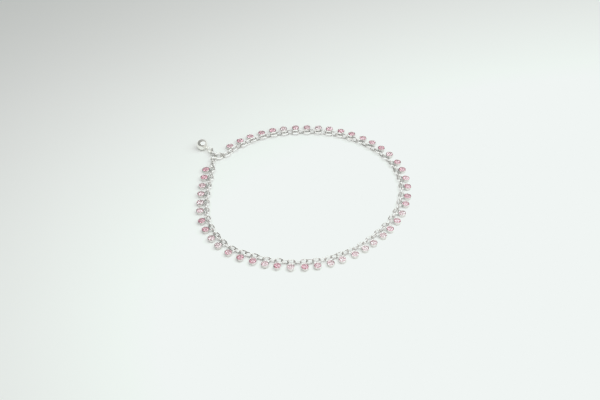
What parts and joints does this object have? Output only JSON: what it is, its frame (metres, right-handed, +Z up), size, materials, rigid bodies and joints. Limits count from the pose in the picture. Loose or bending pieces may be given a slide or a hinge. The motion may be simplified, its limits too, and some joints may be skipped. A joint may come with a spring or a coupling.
{
  "type": "payal anklet",
  "caption": "Silver chain anklet: pink stones in round cups along a cable chain, an S-shaped hook and a polished ball, lying closed on a surface.",
  "frame": {"origin": "on the surface that the anklet lies on, below the middle of its bounding box", "axes": "+Z up from the surface, +X along the loop's longer way, the clasp at -X and +Y"},
  "size_m": [0.094, 0.0872, 0.0048],
  "materials": {
    "silver": "polished silver with darker tarnish in the joints",
    "stone": "cut pink stone"
  },
  "bodies": {
    "root": {"front_strand": "silver", "back_strand": "silver", "left_end_link": "silver", "right_end_link": "silver", "joining_ring": "silver", "hook": "silver", "tail_link_1": "silver", "tail_link_2": "silver", "ball": "silver"}
  },
  "joints": []
}
